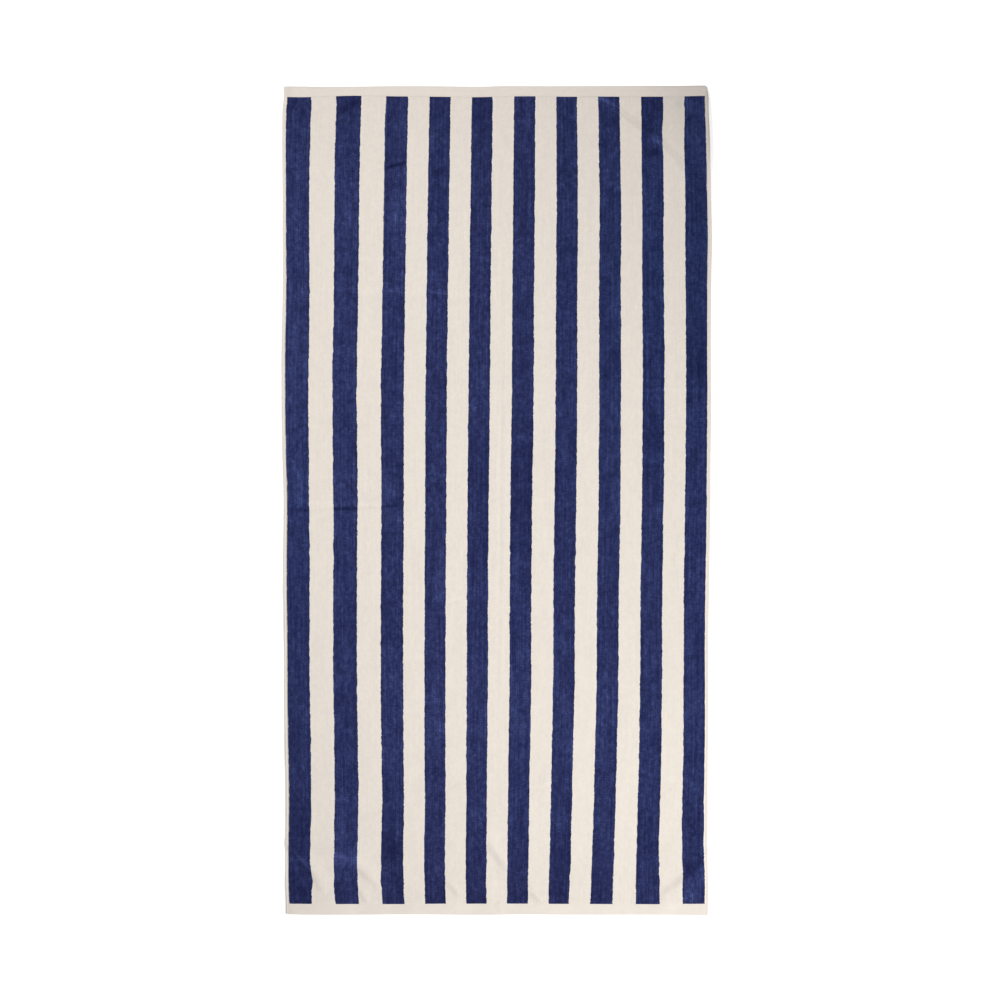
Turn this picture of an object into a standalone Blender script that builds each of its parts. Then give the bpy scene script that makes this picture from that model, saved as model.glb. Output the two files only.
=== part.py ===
"""Beach towel: one hemmed length of striped terry towelling, laid out flat on the ground.

Metres, +Z up. The length runs along Y with the head of the towel at +Y, and the origin lies
on the ground under the middle of the cloth. The tables are in millimetres.
"""

from typing import NamedTuple

import bmesh
import bpy
import numpy as np

# Driving sizes
WIDTH = 0.910
LENGTH = 1.770
PILE_THICKNESS = 0.0030
HEM_THICKNESS = 0.0021
END_HEM = 0.0225
HEM_STEP = 0.0035
CORNER_INSET = 0.0050
CORNER_PULL = 0.0014
MM = 0.001

# Spacing of the grid: close near both ends, where the corners stand in folds, wide between.
# END_REACH is the share of each half over which the nap's end is drawn out of straight.
GAPS_IN_A_BAND = 4
FOLDED_REACH = 0.235
FOLDED_STEP = 0.011
FIELD_STEP = 0.040
END_REACH = 0.1
RIDGE_END_DROP = 0.75

CREAM = (0.735, 0.682, 0.622, 1.0)
NAVY = (0.019, 0.026, 0.099, 1.0)
CLOTH_ROUGHNESS = 0.95


class Band(NamedTuple):
    """One navy stripe and the cream band on its right, in millimetres of flat cloth."""

    stripe: float
    cream: float


# The cloth across its width, from the left selvedge: a cream margin, then stripe by stripe.
LEFT_MARGIN = 7.7
BANDS = (
    Band(stripe=51.1, cream=50.6),
    Band(stripe=51.4, cream=51.2),
    Band(stripe=48.0, cream=45.4),
    Band(stripe=45.0, cream=45.0),
    Band(stripe=44.8, cream=45.7),
    Band(stripe=46.0, cream=46.1),
    Band(stripe=45.4, cream=46.4),
    Band(stripe=46.4, cream=46.6),
    Band(stripe=47.2, cream=46.3),
    Band(stripe=45.8, cream=8.3),
)


class Side(NamedTuple):
    """How far both long edges stand outside their straight lines, in millimetres."""

    along: float
    left: float
    right: float


SIDES = (
    Side(along=-885.0, left=-6.7, right=-2.0),
    Side(along=-865.0, left=-6.8, right=-0.9),
    Side(along=-835.0, left=-5.4, right=-0.2),
    Side(along=-770.0, left=-5.4, right=-1.8),
    Side(along=-640.0, left=-6.1, right=-2.1),
    Side(along=-450.0, left=-3.1, right=-0.4),
    Side(along=-320.0, left=-2.6, right=-0.8),
    Side(along=-130.0, left=-0.8, right=1.7),
    Side(along=0.0, left=-2.2, right=3.6),
    Side(along=190.0, left=2.5, right=4.8),
    Side(along=320.0, left=2.9, right=4.2),
    Side(along=450.0, left=0.3, right=4.6),
    Side(along=575.0, left=0.9, right=6.2),
    Side(along=640.0, left=0.8, right=4.5),
    Side(along=770.0, left=1.8, right=1.6),
    Side(along=835.0, left=0.8, right=-1.2),
    Side(along=865.0, left=-1.7, right=-1.8),
    Side(along=885.0, left=-1.2, right=-5.2),
)


class End(NamedTuple):
    """How far both end edges and both ends of the nap stand outside straight, in millimetres."""

    across: float
    head: float
    head_nap: float
    foot: float
    foot_nap: float


ENDS = (
    End(across=-455.0, head=-2.2, head_nap=-3.0, foot=0.6, foot_nap=0.2),
    End(across=-370.0, head=-3.1, head_nap=-2.0, foot=1.7, foot_nap=1.0),
    End(across=-320.0, head=-2.9, head_nap=0.0, foot=1.7, foot_nap=1.2),
    End(across=-215.0, head=-1.6, head_nap=-1.4, foot=1.0, foot_nap=1.4),
    End(across=-40.0, head=-2.8, head_nap=-3.9, foot=1.8, foot_nap=0.2),
    End(across=55.0, head=-1.7, head_nap=-1.1, foot=0.8, foot_nap=0.0),
    End(across=145.0, head=-1.7, head_nap=-2.4, foot=1.5, foot_nap=0.6),
    End(across=325.0, head=-1.3, head_nap=-2.3, foot=1.5, foot_nap=1.3),
    End(across=455.0, head=-0.7, head_nap=-0.2, foot=2.8, foot_nap=0.2),
)


class Course(NamedTuple):
    """How far six of the ten stripes lie to the right of straight, in millimetres."""

    along: float
    first: float
    second: float
    fourth: float
    sixth: float
    eighth: float
    tenth: float


COURSES = (
    Course(-860.0, first=4.6, second=2.0, fourth=-2.0, sixth=-7.8, eighth=-13.2, tenth=-1.2),
    Course(-780.0, first=1.5, second=-1.0, fourth=-4.0, sixth=-7.0, eighth=-10.2, tenth=-2.8),
    Course(-650.0, first=3.0, second=1.0, fourth=-2.5, sixth=-5.5, eighth=-5.8, tenth=-3.0),
    Course(-530.0, first=2.0, second=0.0, fourth=-3.0, sixth=-4.0, eighth=-3.0, tenth=-0.9),
    Course(-400.0, first=0.0, second=-2.0, fourth=-3.0, sixth=-1.8, eighth=0.2, tenth=-0.6),
    Course(-245.0, first=-0.5, second=-2.5, fourth=-2.8, sixth=-1.5, eighth=1.0, tenth=-0.2),
    Course(0.0, first=-1.5, second=-1.5, fourth=-1.5, sixth=0.3, eighth=4.7, tenth=3.0),
    Course(235.0, first=-4.0, second=-3.5, fourth=-0.5, sixth=3.5, eighth=6.0, tenth=4.6),
    Course(450.0, first=-1.5, second=-0.2, fourth=2.2, sixth=4.5, eighth=5.8, tenth=3.9),
    Course(610.0, first=-2.5, second=1.3, fourth=4.0, sixth=6.0, eighth=6.6, tenth=3.8),
    Course(770.0, first=-1.5, second=3.5, fourth=6.5, sixth=7.0, eighth=4.5, tenth=1.2),
    Course(855.0, first=1.0, second=6.0, fourth=8.0, sixth=7.5, eighth=2.8, tenth=0.2),
)
STRIPES_TOLD = (0, 1, 3, 5, 7, 9)


class Ridge(NamedTuple):
    """A soft fold along a line: its height and its reach left and right of the line."""

    name: str
    line: tuple
    height: float
    left: float
    right: float


RIDGES = (
    Ridge("head right corner", ((222, 849), (264, 823), (310, 789), (352, 757), (386, 724), (403, 690)),
          6.0, 16, 52),
    Ridge("head right side", ((450, 872), (455, 800), (455, 740), (452, 690)), 5.0, 60, 60),
    Ridge("foot right corner", ((322, -850), (362, -846), (388, -829), (418, -801), (438, -768)),
          4.0, 19, 40),
    Ridge("foot left corner", ((-456, -727), (-399, -784), (-381, -812), (-366, -842)), 2.6, 30, 12),
    Ridge("foot left pleat", ((-352, -762), (-328, -761), (-297, -782), (-248, -830)), 2.9, 34, 12),
    Ridge("foot middle pleat", ((-20, -733), (4, -760), (26, -789)), 3.0, 28, 12),
)


def through(places, values, at):
    """A smooth curve through values at known places, read at any others: one row for each."""
    places = np.asarray(places, float)
    values = np.asarray(values, float).reshape(len(places), -1)
    slopes = np.gradient(values, places, axis=0)
    at = np.clip(at, places[0], places[-1])
    low = np.clip(np.searchsorted(places, at) - 1, 0, len(places) - 2)
    step = (places[low + 1] - places[low])[:, None]
    share = (at - places[low])[:, None] / step
    rest = 1.0 - share
    from_low = rest**2 * ((1 + 2 * share) * values[low] + share * step * slopes[low])
    from_high = share**2 * ((3 - 2 * share) * values[low + 1] - rest * step * slopes[low + 1])
    return from_low + from_high


def column(rows, name):
    return np.array([getattr(row, name) for row in rows]) * MM


def stripe_edges():
    """Where each stripe starts and stops, in metres from the middle of the flat cloth."""
    widths = [LEFT_MARGIN] + [width for band in BANDS for width in band]
    ends = np.cumsum(widths)
    return ends[:-1] * WIDTH / ends[-1] - WIDTH / 2


def grid_across(edges):
    """Places across the flat cloth: the selvedge, the corner inset, then even gaps in each band."""
    places = [np.array([-WIDTH / 2, -WIDTH / 2 + CORNER_INSET]), edges[:1]]
    for low, high in zip(edges, edges[1:]):
        places.append(np.linspace(low, high, GAPS_IN_A_BAND + 1)[1:])
    places.append(np.array([WIDTH / 2 - CORNER_INSET, WIDTH / 2]))
    return np.concatenate(places)


def even(low, high, step):
    """Even places from low to high, no further apart than a step."""
    return np.linspace(low, high, int(np.ceil((high - low) / step)) + 1)


def grid_along():
    """Places along the flat cloth: the hem lines, close rows near both ends, wider ones between."""
    end = LENGTH / 2
    inner = end - END_HEM - HEM_STEP
    folded = end - FOLDED_REACH
    head = [even(folded, inner, FOLDED_STEP), [end - END_HEM, end - CORNER_INSET, end]]
    upper = np.concatenate([even(0.0, folded, FIELD_STEP)[1:-1], *head])
    return np.concatenate([-upper[::-1], [0.0], upper])


def sideways(across, along, edges):
    """How far rightwards each flat point is laid, as rows along by columns across."""
    known = [through(column(SIDES, "along"), -column(SIDES, "left"), along)]
    for name in Course._fields[1:]:
        known.append(through(column(COURSES, "along"), column(COURSES, name), along))
    known.append(through(column(SIDES, "along"), column(SIDES, "right"), along))
    middles = (edges[0::2] + edges[1::2]) / 2
    places = [-WIDTH / 2, *middles[list(STRIPES_TOLD)], WIDTH / 2]
    return through(places, np.hstack(known).T, across).T


def lengthways(across, along):
    """How far towards the head each flat point is laid: only near the two ends."""
    from_end = LENGTH / 2 - abs(along)
    past_nap = np.clip(1 - from_end / END_HEM, 0, 1)[:, None]
    near = np.clip(1 - from_end / (END_REACH * LENGTH / 2), 0, 1)[:, None]
    head, head_nap, foot, foot_nap = [through(column(ENDS, "across"), column(ENDS, name), across).T
                                      for name in End._fields[1:]]
    at_head = past_nap * head + (1 - past_nap) * near * head_nap
    at_foot = past_nap * foot + (1 - past_nap) * near * foot_nap
    return np.where(along[:, None] > 0, at_head, -at_foot)


def beside_line(line, x, y):
    """(distance from a line, True on its left, share along it) for every place."""
    line = np.array(line, float) * MM
    runs = np.diff(line, axis=0)
    lengths = np.hypot(*runs.T)
    gone = np.concatenate([[0], np.cumsum(lengths)])
    nearest, left, share = np.full(x.shape, np.inf), np.zeros(x.shape, bool), np.zeros(x.shape)
    for start, run, length, before in zip(line, runs, lengths, gone):
        dx, dy = x - start[0], y - start[1]
        part = np.clip((dx * run[0] + dy * run[1]) / length**2, 0, 1)
        away = np.hypot(dx - part * run[0], dy - part * run[1])
        closer = away < nearest
        nearest = np.where(closer, away, nearest)
        left = np.where(closer, run[0] * dy - run[1] * dx > 0, left)
        share = np.where(closer, (before + part * length) / gone[-1], share)
    return nearest, left, share


def ridge_height(ridge, x, y):
    """A bell across the line that dies away towards both its ends."""
    away, left, share = beside_line(ridge.line, x, y)
    reach = np.where(left, ridge.left, ridge.right) * MM
    bell = np.clip(1 - (away / reach) ** 2, 0, 1) ** 2
    return ridge.height * MM * bell * (1 - RIDGE_END_DROP * abs(2 * share - 1) ** 3)


def lift(x, y):
    """How high the underside stands off the ground: the highest ridge at that place."""
    return np.max([ridge_height(ridge, x, y) for ridge in RIDGES], axis=0)


def laid_out(across, along, edges):
    """Where each point of the flat cloth comes to lie, as rows along by columns across."""
    s, t = np.meshgrid(across, along)
    x = s + sideways(across, along, edges)
    y = t + lengthways(across, along)
    corners = np.ix_([0, -1], [0, -1])
    x[corners] -= np.sign(x[corners]) * CORNER_PULL
    y[corners] -= np.sign(y[corners]) * CORNER_PULL
    return np.stack([x, y, lift(x, y)], axis=-1)


def plain_material(name, colour):
    made = bpy.data.materials.new(name)
    made.use_nodes = True
    shader = made.node_tree.nodes["Principled BSDF"]
    shader.inputs["Base Color"].default_value = colour
    shader.inputs["Roughness"].default_value = CLOTH_ROUGHNESS
    shader.inputs["Metallic"].default_value = 0.0
    return made


def pile_weight(along):
    """1 on the pile, less on the flat woven end hems."""
    on_hem = abs(along) > LENGTH / 2 - END_HEM - HEM_STEP / 2
    return HEM_THICKNESS / PILE_THICKNESS if on_hem else 1.0


def is_navy(s, t, edges):
    """True where a stripe of the nap lies at this place of the flat cloth."""
    in_stripe = np.searchsorted(edges, s) % 2 == 1
    return bool(in_stripe) and abs(t) < LENGTH / 2 - END_HEM


def make_towel():
    """The cloth's underside as a grid, thickened upwards; the end hems are a little thinner."""
    edges = stripe_edges()
    across, along = grid_across(edges), grid_along()
    places = laid_out(across, along, edges)
    body = bmesh.new()
    grid = [[body.verts.new(place) for place in row] for row in places]
    for i in range(len(along) - 1):
        for j in range(len(across) - 1):
            face = body.faces.new((grid[i][j], grid[i][j + 1], grid[i + 1][j + 1], grid[i + 1][j]))
            middle_s = (across[j] + across[j + 1]) / 2
            middle_t = (along[i] + along[i + 1]) / 2
            face.material_index = int(is_navy(middle_s, middle_t, edges))
    mesh = bpy.data.meshes.new("towel")
    body.to_mesh(mesh)
    body.free()
    mesh.shade_smooth()
    mesh.materials.append(plain_material("cream terry", CREAM))
    mesh.materials.append(plain_material("navy terry", NAVY))
    towel = bpy.data.objects.new("towel", mesh)
    bpy.context.scene.collection.objects.link(towel)
    pile = towel.vertex_groups.new(name="pile")
    for row, t in enumerate(along):
        members = range(row * len(across), (row + 1) * len(across))
        pile.add(list(members), pile_weight(t), "REPLACE")
    thicken = towel.modifiers.new("thickness", "SOLIDIFY")
    thicken.thickness = PILE_THICKNESS
    thicken.offset = 1.0
    thicken.vertex_group = "pile"
    return towel


for leftover in list(bpy.data.objects):
    bpy.data.objects.remove(leftover, do_unlink=True)
make_towel()
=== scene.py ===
# %% [markdown]
# # A striped beach towel, laid out flat
# The real towel is one length of terry cloth. Its face is velour: the loops are sheared off, so
# the cut yarn stands up as a short soft nap. Its back keeps the loops. Both ends finish in a flat
# woven hem, the two long sides in a narrow one, and a row of lockstitch holds each hem down.
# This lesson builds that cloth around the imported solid, which brings the real size with it.

from typing import NamedTuple

import bpy
import numpy as np
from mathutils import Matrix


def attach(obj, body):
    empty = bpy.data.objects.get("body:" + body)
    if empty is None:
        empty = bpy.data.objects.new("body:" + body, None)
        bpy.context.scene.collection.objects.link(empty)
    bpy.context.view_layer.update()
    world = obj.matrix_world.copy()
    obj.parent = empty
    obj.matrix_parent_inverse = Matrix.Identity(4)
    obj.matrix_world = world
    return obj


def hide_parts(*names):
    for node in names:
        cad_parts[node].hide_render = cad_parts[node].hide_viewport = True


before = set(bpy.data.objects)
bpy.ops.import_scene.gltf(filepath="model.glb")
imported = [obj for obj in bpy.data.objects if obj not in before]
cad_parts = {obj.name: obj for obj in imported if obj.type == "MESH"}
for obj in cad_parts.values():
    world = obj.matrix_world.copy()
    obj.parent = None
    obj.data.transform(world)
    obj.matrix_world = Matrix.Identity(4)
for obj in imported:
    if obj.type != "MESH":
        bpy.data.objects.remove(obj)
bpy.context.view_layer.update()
MM = 0.001

# %% [markdown]
# ## The flat cloth
# A weaver describes a towel by what lies across its width: a cream margin, then navy and cream
# bands by turns. The same list drives everything later, so it comes first, in millimetres.

# %% Bands across the width
WIDTH, LENGTH = 0.910, 1.770


class Band(NamedTuple):
    """One navy stripe and the cream band on its right."""

    stripe: float
    cream: float


LEFT_MARGIN = 7.7
BANDS = (
    Band(stripe=51.1, cream=50.6),
    Band(stripe=51.4, cream=51.2),
    Band(stripe=48.0, cream=45.4),
    Band(stripe=45.0, cream=45.0),
    Band(stripe=44.8, cream=45.7),
    Band(stripe=46.0, cream=46.1),
    Band(stripe=45.4, cream=46.4),
    Band(stripe=46.4, cream=46.6),
    Band(stripe=47.2, cream=46.3),
    Band(stripe=45.8, cream=8.3),
)


def stripe_edges():
    """Where each stripe starts and stops, in metres from the middle of the cloth."""
    widths = [LEFT_MARGIN] + [width for band in BANDS for width in band]
    ends = np.cumsum(widths)
    return ends[:-1] * WIDTH / ends[-1] - WIDTH / 2


edges = stripe_edges()
print(len(BANDS), "stripes; the first starts", round((edges[0] + WIDTH / 2) / MM, 1), "mm in")

# %% [markdown]
# ## How it lies
# Cloth is never laid dead straight. The long sides wander by a few millimetres, and so does each
# stripe. A short table of stations says by how much, and a smooth curve runs through them.

# %% A smooth curve through stations
def through(places, values, at):
    """A smooth curve through values at known places, read at any others: one row for each."""
    places, at = np.asarray(places, float), np.asarray(at, float)
    values = np.asarray(values, float).reshape(len(places), -1)
    slopes = np.gradient(values, places, axis=0)
    at = np.clip(at, places[0], places[-1])
    low = np.clip(np.searchsorted(places, at) - 1, 0, len(places) - 2)
    step = (places[low + 1] - places[low])[:, None]
    share = (at - places[low])[:, None] / step
    rest = 1 - share
    from_low = rest**2 * ((1 + 2 * share) * values[low] + share * step * slopes[low])
    from_high = share**2 * ((3 - 2 * share) * values[low + 1] - rest * step * slopes[low + 1])
    return from_low + from_high


def column(rows, name):
    """One column of a table, in metres."""
    return np.array([getattr(row, name) for row in rows]) * MM


print("between 1 and 4 the curve reads", through((0, 1, 2), (0, 1, 4), [1.5])[0, 0].round(2))


# %% The long sides
class Side(NamedTuple):
    """How far both long edges stand outside their straight lines, in millimetres."""

    along: float
    left: float
    right: float


SIDES = [Side(*row) for row in (
    (-885, -6.7, -2.0),
    (-865, -6.8, -0.9),
    (-835, -5.4, -0.2),
    (-770, -5.4, -1.8),
    (-640, -6.1, -2.1),
    (-450, -3.1, -0.4),
    (-320, -2.6, -0.8),
    (-130, -0.8, 1.7),
    (0, -2.2, 3.6),
    (65, -0.2, 3.6),
    (190, 2.5, 4.8),
    (320, 2.9, 4.2),
    (450, 0.3, 4.6),
    (575, 0.9, 6.2),
    (640, 0.8, 4.5),
    (770, 1.8, 1.6),
    (835, 0.8, -1.2),
    (865, -1.7, -1.8),
    (885, -1.2, -5.2),
)]
print(len(SIDES), "stations along the sides")


# %% The two ends
class End(NamedTuple):
    """How far both end edges and both ends of the nap stand outside straight, in millimetres."""

    across: float
    head: float
    head_nap: float
    foot: float
    foot_nap: float


ENDS = [End(*row) for row in (
    (-455, -2.2, -3.0, 0.6, 0.2),
    (-420, -2.4, -3.9, 1.4, 0.4),
    (-370, -3.1, -2.0, 1.7, 1.0),
    (-320, -2.9, 0.0, 1.7, 1.2),
    (-215, -1.6, -1.4, 1.0, 1.4),
    (-125, -2.1, -2.6, 1.2, 0.0),
    (-40, -2.8, -3.9, 1.8, 0.2),
    (10, -1.6, -1.9, 1.6, 0.1),
    (55, -1.7, -1.1, 0.8, 0.0),
    (145, -1.7, -2.4, 1.5, 0.6),
    (235, -1.5, -2.3, 1.6, 1.0),
    (325, -1.3, -2.3, 1.5, 1.3),
    (390, -1.2, -1.6, 1.8, 0.8),
    (455, -0.7, -0.2, 2.8, 0.2),
)]
print(len(ENDS), "stations across the ends")


# %% The course of the stripes
class Course(NamedTuple):
    """How far six of the ten stripes lie to the right of straight, in millimetres."""

    along: float
    first: float
    second: float
    fourth: float
    sixth: float
    eighth: float
    tenth: float


COURSES = [Course(*row) for row in (
    (-860, 4.6, 2.0, -2.0, -7.8, -13.2, -1.2),
    (-780, 1.5, -1.0, -4.0, -7.0, -10.2, -2.8),
    (-650, 3.0, 1.0, -2.5, -5.5, -5.8, -3.0),
    (-530, 2.0, 0.0, -3.0, -4.0, -3.0, -0.9),
    (-400, 0.0, -2.0, -3.0, -1.8, 0.2, -0.6),
    (-245, -0.5, -2.5, -2.8, -1.5, 1.0, -0.2),
    (0, -1.5, -1.5, -1.5, 0.3, 4.7, 3.0),
    (235, -4.0, -3.5, -0.5, 3.5, 6.0, 4.6),
    (450, -1.5, -0.2, 2.2, 4.5, 5.8, 3.9),
    (610, -2.5, 1.3, 4.0, 6.0, 6.6, 3.8),
    (770, -1.5, 3.5, 6.5, 7.0, 4.5, 1.2),
    (855, 1.0, 6.0, 8.0, 7.5, 2.8, 0.2),
)]
STRIPES_TOLD = (0, 1, 3, 5, 7, 9)
print(len(COURSES), "stations along the stripes")

# %% [markdown]
# A point of the flat cloth then goes to its laid place: sideways by the course of its stripe and
# a small tuck here and there, lengthways by the end curves, and inwards at the corners, where the
# turned hems are rounded.

# %% Where the folds draw the cloth sideways
class Tuck(NamedTuple):
    """A small sideways pull: place, reach each way and shift to the right, in millimetres."""

    name: str
    place: tuple
    reach: tuple
    shift: float


TUCKS = [Tuck(*row) for row in (
    ("first stripe foot", (-397, -812), (22, 32), 3.2),
    ("second stripe foot", (-350, -830), (20, 34), -1.6),
    ("second stripe, higher", (-330, -735), (60, 40), 1.3),
    ("third stripe foot", (-245, -812), (22, 26), -2.0),
    ("fifth stripe foot", (-22, -765), (24, 50), 1.5),
    ("seventh stripe foot", (160, -770), (24, 44), 1.7),
    ("ninth stripe, higher", (345, -732), (26, 26), -1.8),
    ("ninth stripe foot", (348, -818), (24, 38), 1.4),
    ("tenth stripe, higher", (440, -730), (24, 26), -1.4),
    ("tenth stripe foot", (415, -795), (50, 30), 1.8),
    ("ninth stripe head", (352, 780), (24, 34), -1.5),
)]
print(len(TUCKS), "tucks")


# %% Sideways and lengthways
END_REACH = 0.1
END_HEM, SIDE_HEM = 0.0225, 0.0070


def sideways(across, along):
    """How far rightwards each flat point is laid, as rows along by columns across."""
    known = [through(column(SIDES, "along"), -column(SIDES, "left"), along)]
    for name in Course._fields[1:]:
        known.append(through(column(COURSES, "along"), column(COURSES, name), along))
    known.append(through(column(SIDES, "along"), column(SIDES, "right"), along))
    middles = (edges[0::2] + edges[1::2]) / 2
    places = [-WIDTH / 2, *middles[list(STRIPES_TOLD)], WIDTH / 2]
    return through(places, np.hstack(known).T, across).T


def lengthways(across, along):
    """How far towards the head each flat point is laid: only near the two ends."""
    from_end = LENGTH / 2 - abs(along)
    past_nap = np.clip(1 - from_end / END_HEM, 0, 1)[:, None]
    near = np.clip(1 - from_end / (END_REACH * LENGTH / 2), 0, 1)[:, None]
    head, head_nap, foot, foot_nap = [through(column(ENDS, "across"), column(ENDS, name), across).T
                                      for name in ("head", "head_nap", "foot", "foot_nap")]
    at_head = past_nap * head + (1 - past_nap) * near * head_nap
    at_foot = past_nap * foot + (1 - past_nap) * near * foot_nap
    return np.where(along[:, None] > 0, at_head, -at_foot)


middle_shift = sideways(np.zeros(1), np.zeros(1))[0, 0]
print("the middle of the cloth lies", round(middle_shift / MM, 1), "mm right of straight")

# %% From flat cloth to laid cloth
CORNER_ROUND = 0.0042


def tucked(s, t):
    """The sum of the small sideways pulls."""
    total = np.zeros(s.shape)
    for tuck in TUCKS:
        away = np.hypot((s / MM - tuck.place[0]) / tuck.reach[0],
                        (t / MM - tuck.place[1]) / tuck.reach[1])
        total += tuck.shift * MM * np.clip(1 - away**2, 0, 1) ** 2
    return total


def laid(across, along):
    """x and y of a grid of flat places, as rows along by columns across."""
    across, along = np.atleast_1d(across).astype(float), np.atleast_1d(along).astype(float)
    s, t = np.meshgrid(across, along)
    past_side = np.clip((abs(s) - WIDTH / 2) / CORNER_ROUND + 1, 0, 1)
    past_end = np.clip((abs(t) - LENGTH / 2) / CORNER_ROUND + 1, 0, 1)
    x = s - np.sign(s) * CORNER_ROUND * past_side * (1 - np.sqrt(1 - past_end**2 / 2))
    y = t - np.sign(t) * CORNER_ROUND * past_end * (1 - np.sqrt(1 - past_side**2 / 2))
    x += sideways(across, along) + tucked(s, t)
    return x, y + lengthways(across, along)


corner_x, corner_y = laid([WIDTH / 2], [LENGTH / 2])
print("head right corner, mm:", round(corner_x[0, 0] / MM, 1), round(corner_y[0, 0] / MM, 1))

# %% [markdown]
# ## Folds and creases
# A towel that has been folded in a drawer keeps the memory: soft ridges run across the corners,
# sharp ones cross it where it was folded, and broad low waves stay everywhere. Each ridge is a
# line with a height and a width on either side, which is quicker to steer than a simulation and
# gives the same cloth every time.

# %% The ridges
class Ridge(NamedTuple):
    """A fold along a line: its height, its reach left and right of the line's direction, how much
    lighter navy and cream are painted along its crest, as painted highlight and painted shade, and
    how far that painted tone reaches."""

    name: str
    line: tuple
    height: float
    left: float
    right: float
    navy: float = 0.0
    cream: float = 0.0
    tone_reach: float = 6.0


# The navy and cream numbers paint light and shade into the colour along each fold: navy lighter, cream
# darker.
RIDGES = (
    Ridge("head right corner",
          ((222, 849), (264, 823), (310, 789), (352, 757), (386, 724), (403, 690)),
          6.0, 16, 52, navy=0.50, cream=-0.08),
    Ridge("head right side", ((450, 872), (455, 800), (455, 740), (452, 690)), 5.0, 60, 60),
    Ridge("foot right corner", ((322, -850), (362, -846), (388, -829), (418, -801), (438, -768)),
          4.0, 19, 40, cream=0.01),
    Ridge("foot left corner", ((-456, -727), (-399, -784), (-381, -812), (-366, -842)),
          2.6, 30, 10, navy=0.50, cream=-0.02),
    Ridge("foot left pleat", ((-352, -762), (-328, -761), (-297, -782), (-248, -830)),
          2.9, 34, 10, navy=0.60, cream=-0.05),
    Ridge("foot middle pleat", ((-20, -733), (4, -760), (26, -789)), 3.0, 28, 11, cream=-0.05),
)
print(len(RIDGES), "ridges, the highest", max(ridge.height for ridge in RIDGES), "mm")


# %% Distance from a line
def along_line(line, x, y):
    """(distance from a line, True on its left, share along it) for every place."""
    line = np.array(line, float) * MM
    runs = np.diff(line, axis=0)
    lengths = np.hypot(*runs.T)
    gone = np.concatenate([[0], np.cumsum(lengths)])
    nearest, left, share = np.full(x.shape, np.inf), np.zeros(x.shape, bool), np.zeros(x.shape)
    for start, run, length, before in zip(line, runs, lengths, gone):
        dx, dy = x - start[0], y - start[1]
        part = np.clip((dx * run[0] + dy * run[1]) / length**2, 0, 1)
        away = np.hypot(dx - part * run[0], dy - part * run[1])
        closer = away < nearest
        nearest = np.where(closer, away, nearest)
        left = np.where(closer, run[0] * dy - run[1] * dx > 0, left)
        share = np.where(closer, (before + part * length) / gone[-1], share)
    return nearest, left, share


far = along_line(RIDGES[0].line, np.zeros(1), np.zeros(1))[0][0]
print("the middle of the cloth is", round(far, 3), "m from the first ridge")

# %% How high a place stands
RIDGE_END_DROP = 0.75


def bell(share):
    """1 in the middle, easing to 0 where the share reaches 1."""
    return np.clip(1 - share**2, 0, 1) ** 2


def end_fade(share, drop):
    """1 along the middle of a line, and less by this drop at both its ends."""
    return 1 - drop * abs(2 * share - 1) ** 3


def ridge_height(ridge, x, y):
    """A bell across the line that dies away towards both its ends."""
    away, left, share = along_line(ridge.line, x, y)
    reach = np.where(left, ridge.left, ridge.right) * MM
    return ridge.height * MM * bell(away / reach) * end_fade(share, RIDGE_END_DROP)


def lift(x, y):
    """How far the underside stands off the ground: the highest ridge there."""
    return np.max([ridge_height(ridge, x, y) for ridge in RIDGES], axis=0)


crest = np.array([RIDGES[0].line[2]]) * MM
print("the first ridge stands", (lift(*crest.T) / MM).round(1)[0], "mm high near its middle")
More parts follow.
